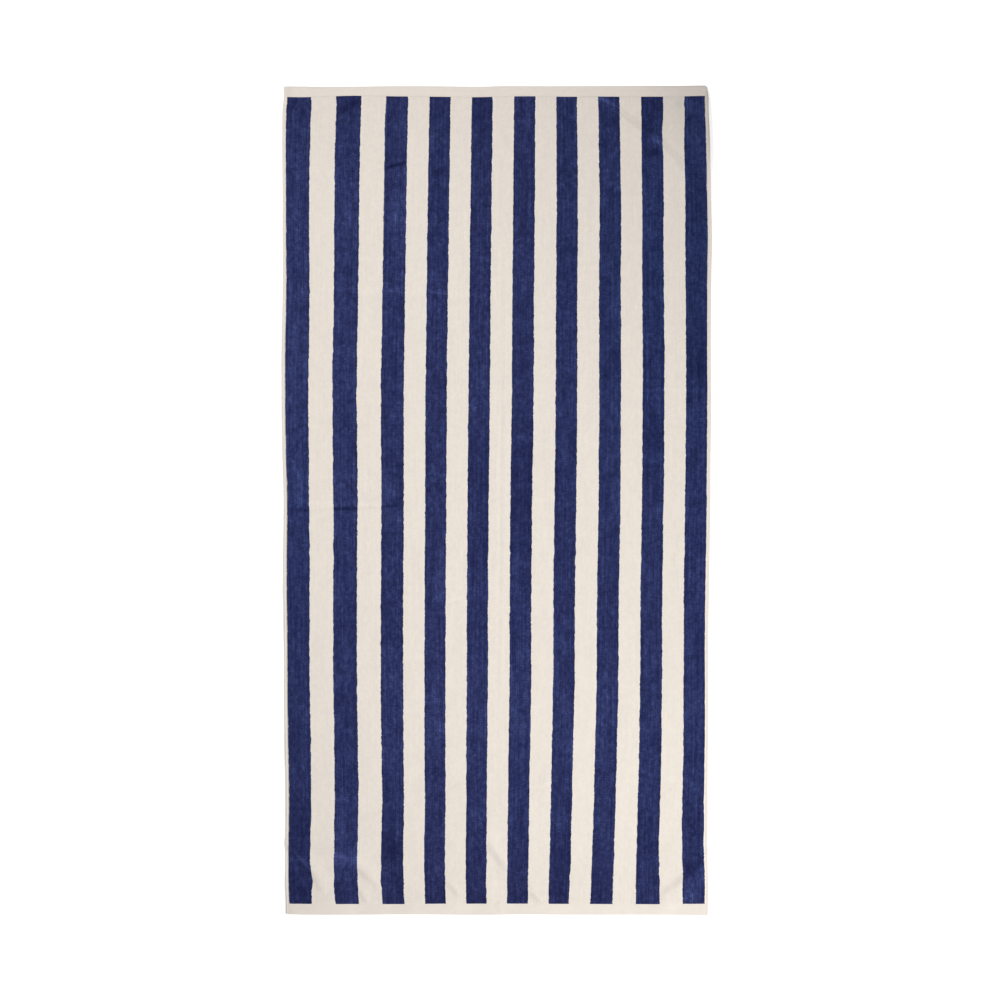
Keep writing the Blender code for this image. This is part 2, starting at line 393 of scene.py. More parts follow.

# %% [markdown]
# ## Pressed lines
# Some creases don't lift the cloth. They only part the nap: a narrow groove, a few millimetres
# wide, with its pile pushed up a little on one side. Their navy and cream numbers paint the light
# and shade of their slopes into the colour: painted highlight on one side, painted shade on the other.

# %% The pressed lines
PRESSED = (
    Ridge("stacking fold, left", ((-3, -620), (1, -270), (6, 50), (6, 560)),
          0.3, 5, 5, cream=0.02),
    Ridge("stacking fold", ((3, -620), (8, -270), (14, 50), (15, 560)), -0.4, 5, 5, cream=-0.03),
    Ridge("stacking fold, right", ((8, -620), (15, -270), (21, 50), (22, 560)),
          0.3, 5, 5, cream=0.022),
    Ridge("first stripe line", ((-429, 277), (-429, 106)), 0.3, 4, 4, navy=0.2),
    Ridge("upper cross crease", ((-350, 448), (-213, 449), (-122, 443), (-25, 438)),
          0.6, 6, 12, navy=0.42, cream=0.025, tone_reach=9),
    Ridge("below the upper crease", ((-350, 431), (-213, 429), (-122, 427), (-25, 424)),
          -0.7, 9, 6, navy=-0.14, cream=-0.028, tone_reach=8),
    Ridge("above the middle crease", ((-446, -5), (-320, -6), (-225, -8)),
          0.7, 9, 9, navy=0.2, cream=0.02, tone_reach=8),
    Ridge("middle cross crease", ((-475, -23), (-430, -22), (-320, -19), (-240, -14), (-180, -9)),
          -0.8, 8, 7, navy=-0.55, cream=-0.03),
    Ridge("line over the middle", ((-420, 55), (-330, 48), (-185, 44)), 0.4, 5, 5, 0.3, 0.015),
    Ridge("faint diagonal", ((-190, -176), (-98, -133)), 0.5, 6, 18, cream=0.02),
    Ridge("short cross line", ((-141, -213), (-34, -211)), 0.7, 16, 7, navy=0.1, cream=0.03),
    Ridge("short dark line", ((-110, -226), (-60, -207)), -0.5, 5, 5, cream=-0.03),
    Ridge("middle diagonal", ((-18, -8), (32, 15)), -0.4, 5, 5, cream=-0.03),
    Ridge("right cross line", ((307, 235), (450, 233)), 0.6, 16, 7, navy=0.35, cream=0.02),
    Ridge("head fold, upper line", ((208, 861), (234, 852), (270, 832)), 0.4, 5, 5, navy=0.95),
    Ridge("third stripe dash", ((-240, 707), (-192, 721)), -1.2, 7, 7, navy=-0.75),
    Ridge("eighth stripe dash", ((228, 686), (272, 659)), 0.6, 7, 7, navy=0.75),
    Ridge("sixth stripe dash", ((30, 132), (88, 130)), 0.4, 5, 5, navy=0.4),
    Ridge("second stripe head crease", ((-345, 822), (-316, 839), (-285, 854)),
          -0.4, 8, 8, navy=-0.40, tone_reach=12),
    Ridge("first stripe head crease", ((-450, 812), (-436, 836), (-420, 864)),
          -0.4, 6, 6, navy=-0.40, tone_reach=8),
    Ridge("low right line", ((265, -600), (392, -594)), 0.8, 18, 8, cream=0.02),
    Ridge("low middle line", ((60, -616), (125, -602)), 0.8, 18, 8, cream=0.02),
    Ridge("low left diagonal", ((-104, -624), (-64, -602)), 0.6, 6, 18, navy=0.2, cream=-0.02),
    Ridge("foot line", ((2, -765), (3, -800), (5, -855)), -0.3, 4, 4, cream=-0.02),
    Ridge("foot pucker, left", ((-105, -815), (-80, -848)), 1.3, 18, 8, cream=-0.09),
    Ridge("foot pucker, right", ((73, -839), (97, -861)), 1.3, 18, 8, cream=-0.09),
    Ridge("foot pucker, hem", ((3, -860), (9, -884)), 0.5, 6, 6, cream=-0.06),
    Ridge("foot pleat tail", ((-292, -836), (-276, -862)), 1.3, 18, 8, cream=-0.09),
)
print(len(PRESSED), "pressed lines")

# %% Broad low waves
WAVE_LENGTHS = (0.21, 0.17, 0.14, 0.11, 0.09, 0.075, 0.062, 0.05)
WAVES_EACH, WAVE_SEED = 3, 11
RISE_OVER_LENGTH = 0.0009


def waviness(x, y):
    """Broad low waves, from a few that cross each other at random angles."""
    draw = np.random.default_rng(WAVE_SEED)
    total = np.zeros(x.shape)
    for length in WAVE_LENGTHS:
        for _ in range(WAVES_EACH):
            turn, phase = draw.uniform(0, 2 * np.pi, 2)
            waves = (x * np.cos(turn) + y * np.sin(turn)) / length
            total += length * np.sin(2 * np.pi * waves + phase)
    return total


def nap_relief(x, y):
    """What the pressed lines and the waves add to the height of the nap."""
    pressed = sum(ridge_height(line, x, y) for line in PRESSED)
    return pressed + RISE_OVER_LENGTH * waviness(x, y)


print(WAVES_EACH * len(WAVE_LENGTHS), "waves")

# %% [markdown]
# ## Thickness across the cloth
# The nap stands 3 mm high. The hems are woven flat and turned under, so they are lower, and the
# nap rounds over towards them. A seam pulls a shallow groove, and the outer edge is a soft round.

# %% Thickness
PILE_HIGH, HEM_HIGH = 0.0030, 0.0021
SHOULDER = 0.0030
END_SEAM, SIDE_SEAM = 0.0198, 0.0054
SEAM_DEPTH, SEAM_REACH = 0.0003, 0.0011
RIM = 0.0016


def inset(s, t):
    """How far in from the long sides and from the ends."""
    return WIDTH / 2 - abs(s), LENGTH / 2 - abs(t)


def thickness(s, t):
    """From the underside to the tips of the nap, lower in the hems and along the seams."""
    from_side, from_end = inset(s, t)
    past_hem = np.minimum(from_side - SIDE_HEM, from_end - END_HEM)
    short = 1 - np.clip(past_hem / SHOULDER, 0, 1)
    high = HEM_HIGH + (PILE_HIGH - HEM_HIGH) * np.sqrt(1 - short**2)
    to_seam = np.minimum(abs(from_side - SIDE_SEAM), abs(from_end - END_SEAM))
    return high - SEAM_DEPTH * np.exp(-((to_seam / SEAM_REACH) ** 2))


def edge_round(s, t):
    """0 on the outermost line, 1 where the full thickness is reached."""
    short = 1 - np.clip(np.minimum(*inset(s, t)) / RIM, 0, 1)
    return np.sqrt(1 - short**2)


print("nap", round(PILE_HIGH / MM, 1), "mm, hem", round(HEM_HIGH / MM, 1), "mm")

# %% [markdown]
# ## The grid
# Rows and columns are close together only where something small happens: at the hems, near the
# corner folds and beside the cross creases. That keeps the mesh light and the detail crisp.

# %% Rows and columns
SIDE_LINES = (0.0, 0.25, 0.8, 1.6, 2.8, 4.4, 5.4, 6.4, 7.0, 7.4)
END_LINES = (0.0, 0.25, 0.8, 1.6, 3.2, 7.0, 12.0, 16.0, 18.6, 19.8, 21.0, 22.5, 22.9, 23.9, 25.5)
FINE_ROWS = ((450, 18), (-17, 18), (-218, 12), (231, 12), (-603, 16), (713, 14), (-150, 22))
CROSS_CREASE_STEP, END_STEP, FIELD_STEP = 0.0028, 0.0033, 0.0094
END_ZONE, COLUMN_STEP = 0.71, 0.0046
READINGS = 8001


def spread_by(reach, step_at):
    """Places from -reach to reach with an even count of gaps, as wide as step_at asks."""
    fine = np.linspace(-reach, reach, READINGS)
    gaps = np.concatenate([[0], np.cumsum(np.diff(fine) / step_at(fine[1:]))])
    count = 2 * int(np.ceil(gaps[-1] / 2))
    return np.interp(np.linspace(0, gaps[-1], count + 1), gaps, fine)


def between_edges():
    """Even columns inside each band, an even count of gaps, so that every edge is a column."""
    places = [edges[:1]]
    for low, high in zip(edges, edges[1:]):
        count = 2 * int(np.ceil((high - low) / COLUMN_STEP / 2))
        places.append(np.linspace(low, high, count + 1)[1:])
    return np.concatenate(places)


def row_step(t):
    """How far apart the rows are: closest at the cross creases, close near both ends."""
    step = np.where(abs(t) > END_ZONE, END_STEP, FIELD_STEP)
    for middle, reach in FINE_ROWS:
        step = np.where(abs(t - middle * MM) < reach * MM, CROSS_CREASE_STEP, step)
    return step


def with_margins(lines, half, inner):
    """The lines of the hems, in millimetres from the edge, put on both sides of inner ones."""
    outer = half - np.array(lines) * MM
    return np.concatenate([-outer, inner, outer[::-1]])


field_y = spread_by(LENGTH / 2 - END_LINES[-1] * MM, row_step)[1:-1]
across = with_margins(SIDE_LINES, WIDTH / 2, between_edges())
along = with_margins(END_LINES, LENGTH / 2, field_y)
print(len(across), "columns and", len(along), "rows")

# %% [markdown]
# The cloth is one closed sheet. Its face takes every row and column, its underside every second
# one, and both share the outermost line of points, so nothing is left open.

# %% Points of the face and the underside
s_grid, t_grid = np.meshgrid(across, along)
x_grid, y_grid = laid(across, along)
ground = lift(x_grid, y_grid)
thick, full = thickness(s_grid, t_grid), edge_round(s_grid, t_grid)
top_z = ground + thick * (0.5 + 0.5 * full) + nap_relief(x_grid, y_grid) * full
under_z = ground + thick * (0.5 - 0.5 * full)

face_ids = np.arange(top_z.size).reshape(top_z.shape)
under_ids = face_ids[::2, ::2].copy()
inner = under_ids[1:-1, 1:-1]
inner[:] = top_z.size + np.arange(inner.size).reshape(inner.shape)


def stacked(face, under):
    """A value for each point: all of the face, then the inner points of the underside."""
    return np.concatenate([face.ravel(), under[::2, ::2][1:-1, 1:-1].ravel()])


points = np.column_stack([
    stacked(x_grid, x_grid),
    stacked(y_grid, y_grid),
    stacked(top_z, under_z),
])
flat = np.column_stack([stacked(s_grid, s_grid), stacked(t_grid, t_grid)])
print(len(points), "points")

# %% Faces
top_faces = np.stack(
    [face_ids[:-1, :-1], face_ids[:-1, 1:], face_ids[1:, 1:], face_ids[1:, :-1]], axis=-1
).reshape(-1, 4)


def under_face(i, j):
    """One face of the underside; at the outer line it takes in the point halfway."""
    last_i, last_j = under_ids.shape[0] - 2, under_ids.shape[1] - 2
    found = [under_ids[i, j]]
    if j == 0:
        found.append(face_ids[2 * i + 1, 0])
    found.append(under_ids[i + 1, j])
    if i == last_i:
        found.append(face_ids[-1, 2 * j + 1])
    found.append(under_ids[i + 1, j + 1])
    if j == last_j:
        found.append(face_ids[2 * i + 1, -1])
    found.append(under_ids[i, j + 1])
    if i == 0:
        found.append(face_ids[0, 2 * j + 1])
    return found


under_rows, under_columns = under_ids.shape
under_faces = [
    under_face(i, j) for i in range(under_rows - 1) for j in range(under_columns - 1)
]
print(len(top_faces), "faces on top,", len(under_faces), "underneath")

# %% The cloth
cloth_mesh = bpy.data.meshes.new("towel_cloth")
cloth_mesh.from_pydata(points.tolist(), [], top_faces.tolist() + under_faces)
cloth_mesh.shade_smooth()
cloth = bpy.data.objects.new("towel_cloth", cloth_mesh)
bpy.context.scene.collection.objects.link(cloth)
print("cloth box, mm:", [round(side / MM, 1) for side in cloth.dimensions])

# %% [markdown]
# ## Maps
# Woven pattern follows the cloth, not the room, so the materials read a map that holds each
# point's place on the flat cloth, in metres. The "bands" map counts bands from the left: 0 to 1
# across the cream margin, 1 to 2 across the first stripe, and so on, so that one number says
# which yarn is there. The last map lays face and back side by side without overlap, for baking.

# %% Maps on the cloth
corner_points = np.empty(len(cloth_mesh.loops), np.int32)
cloth_mesh.loops.foreach_get("vertex_index", corner_points)
on_back = np.arange(len(corner_points)) >= top_faces.size
corner_flat = flat[corner_points]
MAP_SIDE, MAP_GAP = 1.86, 0.01


def add_map(name, values):
    """A map of two numbers for each corner of each face."""
    made = cloth_mesh.uv_layers.new(name=name)
    made.data.foreach_set("uv", values.astype(np.float32).ravel())


add_map("cloth", corner_flat)
band_edges = [-WIDTH / 2, *edges, WIDTH / 2]
band = np.interp(corner_flat[:, 0], band_edges, np.arange(len(band_edges)))
add_map("bands", np.column_stack([band, corner_flat[:, 1]]))
baked = corner_flat + np.array([WIDTH, LENGTH]) / 2 + MAP_GAP
baked[on_back, 0] += WIDTH + 2 * MAP_GAP
add_map("OFBake", baked / MAP_SIDE)
print("maps:", [layer.name for layer in cloth_mesh.uv_layers])

# %% [markdown]
# Some light and shade that no height shows is painted into the colour of the nap. Along a sharp
# bend the nap opens and the sides of the tufts come into view; that and the light and shade of the
# fold's slopes are painted along it, navy lighter or darker and cream mostly darker, as painted
# highlight and painted shade. Patches add more: most navy ones are nap that a hand brushed to lean,
# lighter or darker, while those beside the folds, at the head right corner and along its rim are
# painted light and painted shade. All are kept as numbers on the points for the materials to read.

# %% Patches of brushed nap, painted light and painted shade
class BrushedAndShaded(NamedTuple):
    """A lighter or darker patch, for brushed nap and for painted light and shade: place and reach in
    mm, and how much it changes the look of the yarn.
    """

    name: str
    place: tuple
    reach: tuple
    change: float


PATCHES = {}
# Most navy patches are unevenly brushed nap; the ones marked below are painted light and shade.
PATCHES["navy"] = [BrushedAndShaded(*row) for row in (
    ("left half", (-430, 330), (230, 720), 0.2),
    ("stripe 2 head", (-315, 845), (60, 70), -0.12),
    ("stripe 3 head", (-215, 640), (60, 150), 0.06),
    ("stripe 9 head", (307, 815), (80, 110), -0.16),
    ("right middle", (410, 320), (90, 160), -0.18),
    ("middle", (45, 0), (150, 260), -0.25),
    ("foot", (0, -900), (620, 220), -0.16),
    ("foot left corner", (-420, -850), (110, 150), -0.3),
    # From here to stripe 9 head, right: painted light and painted shade beside the corner folds and at
    # the head right corner.
    ("foot left blob", (-318, -768), (44, 24), 0.85),
    ("foot right corner", (422, -838), (32, 38), 0.58),
    ("foot right corner, side", (440, -802), (18, 34), 0.6),
    ("above the right corner fold", (414, -784), (34, 30), -0.24),
    ("head right corner", (465, 885), (190, 230), 0.06),
    ("stripe 10 head", (420, 838), (26, 30), 0.28),
    ("stripe 10 head, dark", (412, 812), (16, 15), -0.3),
    ("below the head fold", (334, 768), (34, 22), 0.14),
    ("below the head fold, dark", (338, 742), (26, 14), -0.38),
    ("under the upper line", (252, 813), (20, 22), -0.35),
    ("stripe 9 head, right", (345, 836), (24, 26), -0.25),
    ("stripe 1 middle", (-430, 5), (50, 60), 0.26),
    ("stripe 1, lower", (-430, -690), (50, 110), -0.27),
    ("stripe 2, lower", (-325, -425), (50, 55), -0.13),
    ("stripe 3, upper", (-205, 590), (50, 200), 0.2),
    ("stripe 3 foot", (-218, -745), (50, 55), -0.42),
    ("stripe 4 middle", (-105, -165), (50, 120), 0.42),
    ("stripe 4, lower", (-150, -430), (110, 120), 0.12),
    ("stripes 6 and 7 foot", (172, -748), (112, 60), -0.25),
    ("stripe 9 middle", (334, 135), (40, 80), -0.27),
    ("stripe 10, lower", (410, -430), (60, 65), 0.17),
    ("stripe 10, upper", (434, 295), (20, 90), -0.18),
    ("stripe 9, light", (342, -25), (14, 24), 0.45),
    ("stripe 8, dark", (242, 310), (24, 28), -0.22),
    ("stripe 8, low light", (222, -473), (11, 18), 0.35),
    ("stripe 8, low dark", (239, -495), (9, 24), -0.35),
    # Painted shade under the eighth dash.
    ("under the eighth dash", (252, 648), (22, 18), -0.22),
    ("stripe 7, light", (145, -310), (24, 20), 0.22),
    ("stripe 6, low dark", (53, -360), (24, 18), -0.25),
    # Painted shade under the sixth dash.
    ("under the sixth dash", (58, 104), (26, 24), -0.18),
    ("stripe 5, low light", (-34, -449), (13, 16), 0.3),
    ("stripe 4 head", (-125, 830), (30, 22), -0.16),
    ("stripe 4, dark", (-121, 697), (24, 16), -0.45),
    ("stripe 4, upper", (-118, 632), (26, 66), -0.15),
    ("stripe 4, low dark", (-138, -332), (13, 36), -0.2),
    ("stripe 3, over the middle", (-224, 20), (26, 30), 0.35),
    ("stripe 3, under the middle", (-205, -48), (9, 22), 0.6),
    ("stripe 3, low light", (-207, -420), (8, 24), 0.35),
    ("stripe 3, low dark", (-234, -615), (9, 44), -0.35),
    ("stripe 3, left", (-256, -240), (100, 90), -0.15),
    ("stripe 2, upper", (-317, 488), (24, 24), -0.35),
    ("stripe 2, low dark", (-309, -477), (13, 16), -0.3),
    ("stripe 2, low light", (-325, -636), (20, 24), 0.22),
    ("stripe 1, upper", (-429, 486), (18, 20), -0.28),
    ("stripe 1, over the middle", (-424, 20), (26, 28), 0.18),
    ("stripe 1, low light", (-430, -440), (8, 42), 0.25),
    ("stripe 1, low dark", (-420, -588), (24, 26), -0.2),
    ("head, stripes 3 and 4", (-170, 800), (120, 100), 0.14),
    ("upper left", (-320, 640), (170, 200), 0.14),
    ("stripe 10, high", (420, 680), (40, 120), -0.13),
    ("stripe 8, upper", (238, 213), (36, 52), 0.18),
    ("stripe 2, over the middle", (-307, 106), (45, 50), -0.15),
    ("low middle", (30, -450), (420, 210), 0.14),
    ("stripe 5, low", (-8, -325), (45, 64), 0.16),
    ("stripe 2 foot", (-320, -750), (45, 170), 0.17),
    ("stripes 4 and 5 foot", (-80, -862), (120, 50), -0.2),
    ("stripe 4, near the foot", (-100, -641), (45, 45), -0.16),
    ("stripe 3, low", (-221, -534), (45, 60), 0.12),
    ("stripe 9, low", (332, -534), (45, 60), 0.09),
)]
PATCHES["cream"] = [BrushedAndShaded(*row) for row in (
    ("foot left corner", (-420, -850), (110, 150), -0.02),
    # Painted light beside and under the middle pleat.
    ("beside the middle pleat", (-4, -722), (20, 58), 0.045),
    ("under the middle pleat", (-4, -832), (22, 50), 0.05),
    ("head middle", (-50, 760), (450, 420), 0.01),
    ("low right", (320, -740), (480, 480), 0.025),
    ("low left", (-400, -700), (200, 500), -0.015),
    # Painted shade: the head right corner, its rims and the cream beside stripe 9 are darker.
    ("head right corner", (465, 885), (190, 230), -0.14),
    ("head right rim", (455, 818), (6.5, 140), -0.26),
    ("head right rim, top", (452, 868), (7, 30), -0.13),
    ("head right hem rim", (400, 884), (190, 4.5), -0.1),
    ("beside stripe 9", (390, 846), (13, 14), -0.06),
    # Painted light right of the head fold.
    ("right of the fold", (378, 745), (22, 40), 0.02),
    ("head hem", (20, 890), (330, 40), 0.014),
    ("head hem, left", (-455, 890), (230, 60), -0.015),
    ("head hem, left corner", (-444, 872), (16, 18), -0.05),
    ("foot hem, left corner", (-446, -878), (26, 18), -0.04),
    ("head left", (-368, 800), (60, 110), -0.015),
)]
PATCHES["green"] = [BrushedAndShaded(*row) for row in (
    ("foot", (0, -900), (620, 220), -0.6),
    ("upper right", (420, 420), (420, 700), 1.0),
    ("left middle", (-440, -60), (130, 420), 0.45),
)]
print({kind: len(patches) for kind, patches in PATCHES.items()}, "brushed patches")


# %% Numbers on the points
def brushed_and_shaded(x, y, kind):
    """The sum of all patches of one kind: lighter navy, lighter cream or greener navy."""
    total = np.zeros(x.shape)
    for patch in PATCHES[kind]:
        dx, dy = x - patch.place[0] * MM, y - patch.place[1] * MM
        share = np.hypot(dx / (patch.reach[0] * MM), dy / (patch.reach[1] * MM))
        total += patch.change * bell(share)
    return total


TONE_END_DROP = 0.8


def crease_light_and_shade(x, y, kind):
    """The sum of the painted highlight and painted shade along all folds and creases."""
    total = np.zeros(x.shape)
    for ridge in RIDGES + PRESSED:
        away, _, share = along_line(ridge.line, x, y)
        across_line = bell(away / (ridge.tone_reach * MM))
        total += getattr(ridge, kind) * across_line * end_fade(share, TONE_END_DROP)
    return total


def keep_on_points(name, field):
    """One number for each point, under a name that materials can read."""
    kept = cloth_mesh.attributes.new(name, "FLOAT", "POINT")
    kept.data.foreach_set("value", stacked(field, field).astype(np.float32))


for kind in ("navy", "cream"):
    keep_on_points(kind, brushed_and_shaded(x_grid, y_grid, kind) + crease_light_and_shade(x_grid, y_grid, kind))
keep_on_points("green", brushed_and_shaded(x_grid, y_grid, "green"))
print("kept on the points:", [kind for kind in PATCHES if kind in cloth_mesh.attributes])

# %% [markdown]
# ## Materials
# Each finish is a small tree of nodes. One helper keeps the trees readable: it adds a node, sets
# its options, and fills or links its inputs.

# %% A helper for nodes
def add(tree, kind, inputs=None, **settings):
    """A node: each input is a socket to link from or a value to set."""
    made = tree.nodes.new(kind)
    for name, value in settings.items():
        setattr(made, name, value)
    for name, value in (inputs or {}).items():
        if isinstance(value, bpy.types.NodeSocket):
            tree.links.new(value, made.inputs[name])
        else:
            made.inputs[name].default_value = value
    return made


def math_node(tree, operation, first, second=0.0, third=0.0):
    """The result of a sum between sockets or numbers."""
    inputs = {0: first, 1: second, 2: third}
    return add(tree, "ShaderNodeMath", inputs, operation=operation).outputs[0]


print("helpers ready:", add.__name__, "and", math_node.__name__)

# %% Noise
NOISE_ROUGHNESS = 0.55


def grain(tree, place, across_mm, along_mm, detail=2.0, seed=0.0):
    """Soft noise with blots of this size, from 0 to 1 around 0.5; the seed shifts it."""
    scaled = add(tree, "ShaderNodeMapping", {
        "Vector": place,
        "Location": (seed, seed * 0.7, 0.0),
        "Scale": (1 / (across_mm * MM), 1 / (along_mm * MM), 1.0),
    })
    return add(tree, "ShaderNodeTexNoise", {
        "Vector": scaled.outputs[0],
        "Scale": 1.0,
        "Detail": detail,
        "Roughness": NOISE_ROUGHNESS,
    }, noise_dimensions="2D").outputs["Fac"]


print("noise roughness", NOISE_ROUGHNESS)


# %% The start and the end of a material
def new_material(name):
    """A material, its tree and its shader."""
    made = bpy.data.materials.new(name)
    made.use_nodes = True
    return made, made.node_tree, made.node_tree.nodes["Principled BSDF"]


def new_finish(name):
    """The same, and the cloth's own coordinates."""
    made, tree, shader = new_material(name)
    return made, tree, shader, add(tree, "ShaderNodeUVMap", uv_map="cloth").outputs[0]


def set_values(node, values):
    """Numbers and colours that are the same all over a surface."""
    for name, value in values.items():
        node.inputs[name].default_value = value


def emboss(tree, shader, height, distance, strength):
    """Small relief from a pattern, for light only."""
    inputs = {"Height": height, "Distance": distance, "Strength": strength}
    tree.links.new(add(tree, "ShaderNodeBump", inputs).outputs[0], shader.inputs["Normal"])


print("helpers ready:", new_finish.__name__, "and", emboss.__name__)

# %% [markdown]
# ### Dyed stripes
# The yarn is dyed before it is woven, so a stripe is a run of navy warp ends. The bands map is
# odd on navy and even on cream. Its edge wanders by a millimetre as the cut tips lean over, so
# noise of three sizes pushes the number before it is read.

# %% Stripes
CREAM = (0.735, 0.682, 0.622)
BAND_WIDTH = 46.0


class Wander(NamedTuple):
    """One size of unevenness in a stripe's edge: its size in mm, its weight and its seed."""

    size: float
    weight: float
    seed: float


WANDERS = (Wander(28, 2.2, 14.0), Wander(10, 2.4, 3.0), Wander(1.8, 2.8, 8.0))


def stripe_mask(tree, place, wander_mm):
    """1 on navy, 0 on cream."""
    bands = add(tree, "ShaderNodeUVMap", uv_map="bands").outputs[0]
    band = add(tree, "ShaderNodeSeparateXYZ", {0: bands}).outputs[0]
    pushed = band
    for size, weight, seed in WANDERS:
        noise = math_node(tree, "SUBTRACT", grain(tree, place, size, 1.5 * size, seed=seed), 0.5)
        pushed = math_node(tree, "MULTIPLY_ADD", noise, weight * wander_mm / BAND_WIDTH, pushed)
    counted = math_node(tree, "FLOORED_MODULO", pushed, 2.0)
    return math_node(tree, "GREATER_THAN", counted, 1.0)


print("an edge wanders in", len(WANDERS), "sizes, from", WANDERS[-1].size, "to", WANDERS[0].size, "mm")


# %% Tone and mix
def toned(tree, colour, tone):
    """A colour made lighter or darker by a number around 1."""
    scaled = add(tree, "ShaderNodeVectorMath", {0: colour, "Scale": tone}, operation="SCALE")
    return scaled.outputs[0]


def mixed(tree, share, first, second):
    """The first colour where the share is 0, the second where it is 1."""
    made = add(tree, "ShaderNodeMix", {"Factor": share}, data_type="RGBA")
    for socket, value in ((6, first), (7, second)):
        tree.links.new(value, made.inputs[socket])
    return made.outputs[2]


print("helpers ready:", toned.__name__, "and", mixed.__name__)

# %% [markdown]
# ### Velour face
# Sheared pile is never even. Brushed one way it looks darker, the other way lighter, so the navy
# shows blots of one to three centimetres and fine streaks along the warp. Only light that comes
# off the tips carries this, a greyer blue; a deep blue stays in the gaps. Cream hides most of it.
# Under a lens each tuft is a soft dot, which the bump gives.

# %% Nap and its colours
DEEP_NAVY = (0.0, 0.0009, 0.0320)
NAVY_TIPS = (0.0193, 0.0257, 0.0681)
GREENER_TIPS = -0.18


class Uneven(NamedTuple):
    """One size of unevenness: mm across and along, noise detail, seed, and its two weights."""

    across: float
    along: float
    detail: float
    seed: float
    navy: float
    cream: float


NAP = {
    "wide": Uneven(70, 110, 1.0, 7.0, navy=0.4, cream=0.0),
    "blots": Uneven(22, 32, 2.5, 1.0, navy=1.05, cream=0.06),
    "small": Uneven(8.5, 10.5, 2.5, 5.0, navy=1.5, cream=0.10),
    "streaks": Uneven(2.0, 24, 2.0, 2.0, navy=0.85, cream=0.065),
    "runs": Uneven(4.2, 190, 1.5, 6.0, navy=1.2, cream=0.055),
    "picks": Uneven(10, 2.8, 2.0, 12.0, navy=0.85, cream=0.06),
    "tufts": Uneven(1.9, 2.1, 1.0, 4.0, navy=1.75, cream=0.14),
}
BRUSHED_AND_SHADED_SHOWS = {"navy": 1.15, "cream": 1.0}
print(len(NAP), "sizes of unevenness in the nap")


# %% Yarn
def tone_of(tree, parts, strength):
    """A number around 1: e to the power of a weighted sum of noises around 0."""
    total = 0.0
    for noise, weight in parts:
        centred = math_node(tree, "SUBTRACT", noise, 0.5)
        total = math_node(tree, "MULTIPLY_ADD", centred, weight * strength, total)
    return math_node(tree, "EXPONENT", total)


def kept_number(tree, name):
    """A number kept on the points of the cloth."""
    return add(tree, "ShaderNodeAttribute", attribute_name=name).outputs["Fac"]


def changed_by(tree, tone, number, weight):
    """A tone times 1 plus a number times its weight."""
    return math_node(tree, "MULTIPLY", tone, math_node(tree, "MULTIPLY_ADD", number, weight, 1.0))


def navy_yarn(tree, tone):
    """Deep blue plus tips of this tone; less red in them where the nap looks greener."""
    tips = toned(tree, NAVY_TIPS, tone)
    redness = math_node(tree, "MULTIPLY_ADD", kept_number(tree, "green"), GREENER_TIPS, 1.0)
    tint = add(tree, "ShaderNodeCombineXYZ", {"X": redness, "Y": 1.0, "Z": 1.0}).outputs[0]
    tips = add(tree, "ShaderNodeVectorMath", {0: tips, 1: tint}, operation="MULTIPLY").outputs[0]
    return add(tree, "ShaderNodeVectorMath", {0: tips, 1: DEEP_NAVY}, operation="ADD").outputs[0]


print("helpers ready:", tone_of.__name__, "and", navy_yarn.__name__)


# %% Velour face
def velour():
    made, tree, shader, place = new_finish("velour face")
    mask = stripe_mask(tree, place, 1.0)
    noises = {name: grain(tree, place, *size[:4]) for name, size in NAP.items()}

    def tone(yarn):
        weights = {name: getattr(size, yarn) for name, size in NAP.items()}
        parts = [(noises[name], weight) for name, weight in weights.items() if weight]
        even = tone_of(tree, parts, 1.0)
        # The kept numbers paint the light and shade of the folds, creases and patches into the yarn's
        # tone.
        return changed_by(tree, even, kept_number(tree, yarn), BRUSHED_AND_SHADED_SHOWS[yarn])

    navy = navy_yarn(tree, tone("navy"))
    cream = toned(tree, CREAM, tone("cream"))
    tree.links.new(mixed(tree, mask, cream, navy), shader.inputs["Base Color"])
    height = math_node(tree, "MULTIPLY_ADD", noises["small"], 0.5, noises["tufts"])
    emboss(tree, shader, height, distance=0.0006, strength=0.35)
    set_values(shader, {"Roughness": 0.95, "Diffuse Roughness": 0.6, "Specular IOR Level": 0.12,
                        "Sheen Weight": 0.09, "Sheen Roughness": 0.45})
    return made


velour_finish = velour()
print("velour face:", len(velour_finish.node_tree.nodes), "nodes")

# %% [markdown]
# ### Looped back
# The back keeps its loops. They stand in rows, each about 2 mm apart, so a cell pattern stretched
# along the warp makes their bump, and the stripes show through with a rougher edge.

# %% Looped back
LOOPS_PER_METRE = (620.0, 430.0, 1.0)


def looped():
    made, tree, shader, place = new_finish("looped back")
    mask = stripe_mask(tree, place, 1.5)
    scaled = add(tree, "ShaderNodeMapping", {"Vector": place, "Scale": LOOPS_PER_METRE})
    cells = add(tree, "ShaderNodeTexVoronoi", {"Vector": scaled.outputs[0], "Scale": 1.0},
                voronoi_dimensions="2D", feature="SMOOTH_F1").outputs["Distance"]
    blots = grain(tree, place, 26, 26, seed=6.0)
    shaded = math_node(tree, "SUBTRACT", 1.0, cells)
    # The loop cells also paint shade into the colour, darker between the loops.
    parts = ((blots, 0.3), (shaded, 0.5))
    navy = navy_yarn(tree, tone_of(tree, parts, 1.0))
    cream = toned(tree, CREAM, tone_of(tree, parts, 0.3))
    tree.links.new(mixed(tree, mask, cream, navy), shader.inputs["Base Color"])
    emboss(tree, shader, shaded, distance=0.0012, strength=0.7)
    set_values(shader, {"Roughness": 0.95, "Specular IOR Level": 0.15})
    return made


looped_finish = looped()
print("looped back:", len(looped_finish.node_tree.nodes), "nodes")

